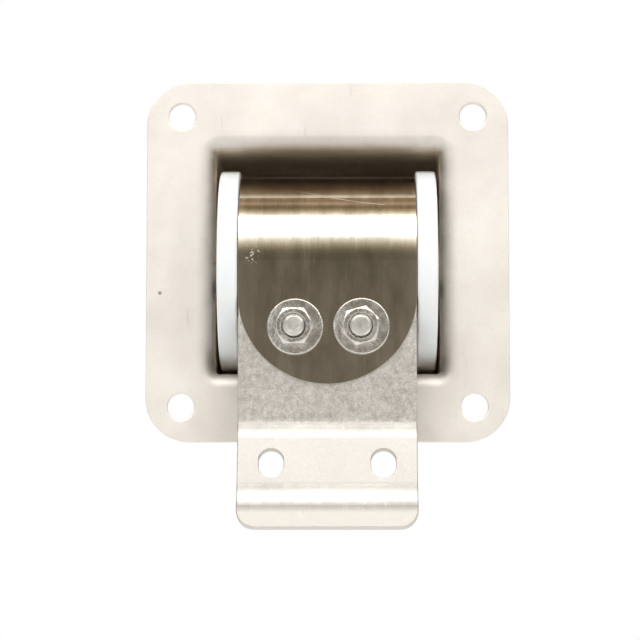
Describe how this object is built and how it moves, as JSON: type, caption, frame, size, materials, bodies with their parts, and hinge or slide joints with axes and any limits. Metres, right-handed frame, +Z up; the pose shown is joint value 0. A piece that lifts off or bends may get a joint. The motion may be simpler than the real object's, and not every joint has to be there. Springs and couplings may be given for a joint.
{
  "type": "spring reel for a sliding door",
  "caption": "Recessed constant-force spring reel: square plate with a drawn pocket, flanged drum, wide steel strip and a stepped bracket for a sliding door.",
  "frame": {"origin": "on the plate's back face, at the centre of its four fixing holes", "axes": "+X right as seen from the room, +Y into the wall, +Z up; the strip is pulled out along -Z"},
  "size_m": [0.103, 0.0693, 0.1277],
  "materials": {
    "satin_stainless": "satin",
    "pin_steel": "turned",
    "bright_zinc": "bright",
    "dark_steel": "phosphated",
    "nylon": "matte",
    "black_plastic": "matte",
    "white_acetal": "satin",
    "bronze": "sintered",
    "spring_steel": "polished",
    "galvanised_steel": "galvanised"
  },
  "bodies": {
    "housing": {"mounting_pan": "satin_stainless", "axle_pin": "pin_steel", "axle_washer": "bright_zinc", "axle_clip": "dark_steel", "thrust_washer_left": "nylon", "thrust_washer_right": "nylon"},
    "drum": {"drum_core": "black_plastic", "flange_disc_left": "white_acetal", "flange_disc_right": "white_acetal", "disc_screws_left": "bright_zinc", "disc_screws_right": "bright_zinc", "bush_left": "bronze", "bush_right": "bronze", "spring_coil": "spring_steel"},
    "door_end": {"spring_strip": "spring_steel", "stud_left": "bright_zinc", "stud_right": "bright_zinc", "washer_left": "bright_zinc", "washer_right": "bright_zinc", "nut_left": "bright_zinc", "nut_right": "bright_zinc", "door_bracket": "galvanised_steel"}
  },
  "joints": [
    {"name": "strip_pull", "type": "slide", "parent": "housing", "child": "door_end", "axis": [0, 0, -1], "range_m": [0, 0.45], "stiffness_N_per_m": 20, "springref_m": -3, "deforming": ["spring_strip"]},
    {"name": "drum_spin", "type": "hinge", "parent": "housing", "child": "drum", "pos_m": [0, 0.014, -0.0012], "axis": [1, 0, 0], "range_deg": [0, 965]}
  ],
  "couplings": [
    {"joint": "drum_spin", "follows": "strip_pull", "rad_per_m": 37.313}
  ]
}
